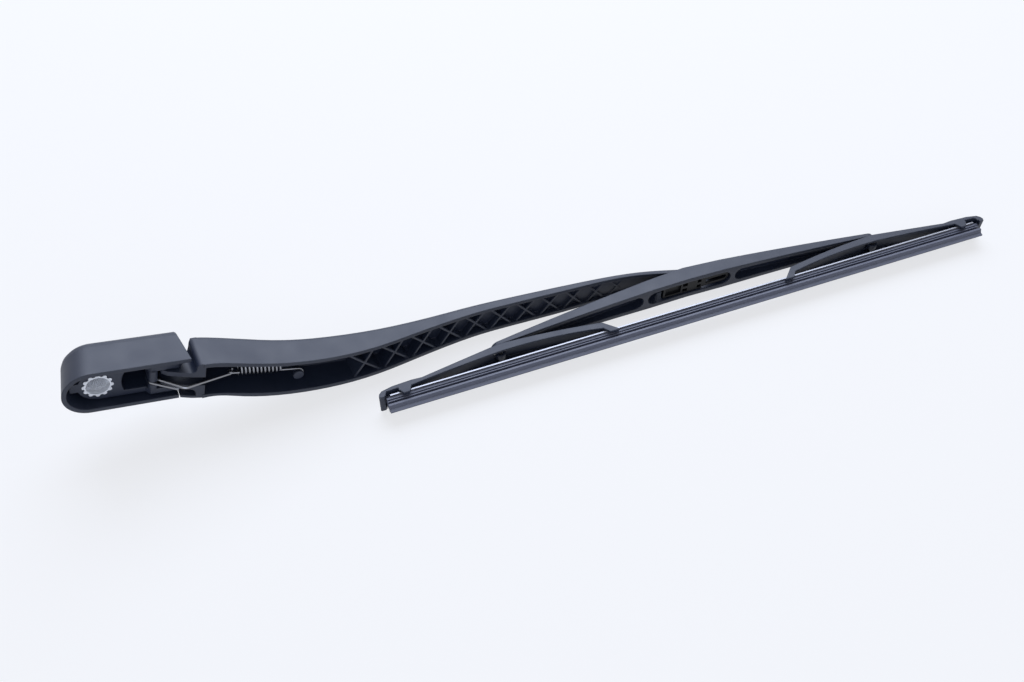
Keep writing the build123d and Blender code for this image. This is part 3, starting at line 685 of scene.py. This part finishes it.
@dataclass
class Studio:
    """Pale floor, soft light and the camera.

    Args:
        eye: the camera's place in metres.
        right: the picture's right in the row frame.
        back: from the object to the camera.
        lens: focal length in mm.
        sensor: width of the sensor in mm.
        floor_hex: colour of the floor and of the surroundings.
        floor_reach: how far the floor runs each way, in metres.
        floor_glow: how far the camera sees the floor's own colour instead of its shading.
        sky: strength of the even light from all round.
        backdrop: strength at which the pale surroundings show, where 1 is white.
        lamp_hex: colour of the soft boxes, a cool daylight.
        lamps: the soft boxes.
    """

    eye: tuple[float, float, float] = (0.05068, -0.38798, 0.42641)
    right: tuple[float, float, float] = (0.90032, -0.43523, 0.0)
    back: tuple[float, float, float] = (-0.27976, -0.57871, 0.76604)
    lens: float = 36.46
    sensor: float = 36.0
    floor_hex: str = "f9fafd"
    floor_reach: float = 6.0
    floor_glow: float = 0.75
    sky: float = 0.22
    backdrop: float = 1.0
    lamp_hex: str = "e4edff"
    lamps: tuple[SoftBox, ...] = (OVERHEAD, FRONT)

    def camera(self) -> None:
        """Place the camera."""
        data = bpy.data.cameras.new("camera")
        data.sensor_fit = "HORIZONTAL"
        data.sensor_width = self.sensor
        data.lens = self.lens
        data.clip_start = 0.01
        item = bpy.data.objects.new("camera", data)
        x, z = np.array(self.right), np.array(self.back)
        item.matrix_world = Axes(np.array(self.eye), x, np.cross(z, x), z).matrix()
        bpy.context.scene.collection.objects.link(item)
        bpy.context.scene.camera = item

    def seen(self, tree: bpy.types.NodeTree, lit: float, shown: float) -> bpy.types.NodeSocket:
        """Tell rays that show the background from rays that carry its light.

        Args:
            tree: the node tree of the floor or the world.
            lit: value for rays that carry light.
            shown: value for camera rays and for those that a metal or glass sends on.

        Returns:
            The socket with that value.
        """
        rays = add_node(tree, "ShaderNodeLightPath").outputs
        total = rays["Is Camera Ray"]
        for name in ("Is Glossy Ray", "Is Transmission Ray"):
            total = add_node(tree, "ShaderNodeMath", total, rays[name]).outputs[0]
        return add_node(tree, "ShaderNodeMapRange", Value=total, To_Min=lit, To_Max=shown).outputs[0]

    def paper(self) -> bpy.types.Material:
        """Mix the floor's shading with the plain colour in which it shows.

        Returns:
            The floor's material.
        """
        material = bpy.data.materials.new("paper_matte_sheet")
        material.use_nodes = True
        tree = material.node_tree
        tree.nodes.clear()
        # Matte white paper: even and near white, with a faint soft shadow under the part.
        shaded = add_node(tree, "ShaderNodeBsdfDiffuse", Color=linear(self.floor_hex))
        glow = add_node(tree, "ShaderNodeEmission", Color=linear(self.floor_hex), Strength=1.0)
        share = self.seen(tree, 0.0, self.floor_glow)
        blend = add_node(tree, "ShaderNodeMixShader", share, shaded.outputs[0], glow.outputs[0])
        add_node(tree, "ShaderNodeOutputMaterial", Surface=blend.outputs[0])
        return material

    def floor(self, height: float) -> None:
        """Lay the floor.

        Args:
            height: its height in metres.
        """
        signs = ((-1, -1), (1, -1), (1, 1), (-1, 1))
        corners = [(self.floor_reach * x, self.floor_reach * y, height) for x, y in signs]
        mesh = bpy.data.meshes.new("floor")
        mesh.from_pydata(corners, [], [(0, 1, 2, 3)])
        mesh.materials.append(self.paper())
        item = bpy.data.objects.new("floor", mesh)
        bpy.context.scene.collection.objects.link(item)
        item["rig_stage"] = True

    def light(self) -> None:
        """Light the stage from a pale sky and soft boxes."""
        world = bpy.data.worlds.new("studio")
        bpy.context.scene.world = world
        world.use_nodes = True
        tree = world.node_tree
        tree.nodes.clear()
        strength = self.seen(tree, self.sky, self.backdrop)
        sky = add_node(tree, "ShaderNodeBackground", Color=linear(self.floor_hex), Strength=strength)
        add_node(tree, "ShaderNodeOutputWorld", Surface=sky.outputs[0])
        for lamp in self.lamps:
            lamp.hang(self.lamp_hex)
        bpy.context.scene.view_settings.view_transform = "Standard"


def dress(frame: dict, items: list[bpy.types.Object]) -> None:
    """Give every node and piece the finish of its slot.

    Args:
        items: the new pieces.
    """
    materials = {slot: finish.material() for slot, finish in FINISHES.items()}
    slots = {entry["node"]: entry["material_slot"] for entry in frame["record"]["subparts"]}
    for name, node in frame["nodes"].items():
        node.data.materials.clear()
        node.data.materials.append(materials[Slot(slots[name])])
    for item in items:
        item.data.materials.append(materials[Slot(item["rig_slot"])])


def main() -> None:
    """Build the scene and report its pieces."""
    logging.basicConfig(level=logging.INFO, format="%(message)s")
    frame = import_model()
    loaded = [list(corner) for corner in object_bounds()]
    head = Head()
    items = [head.knurl(), PullSpring(head).build(), *Blade().build()]
    dress(frame, items)
    studio = Studio()
    studio.floor(loaded[0][2])
    studio.camera()
    studio.light()
    for item in items:
        log.info("piece %s: %d faces", item.name, len(item.data.polygons))


if __name__ == "__main__":
    main()
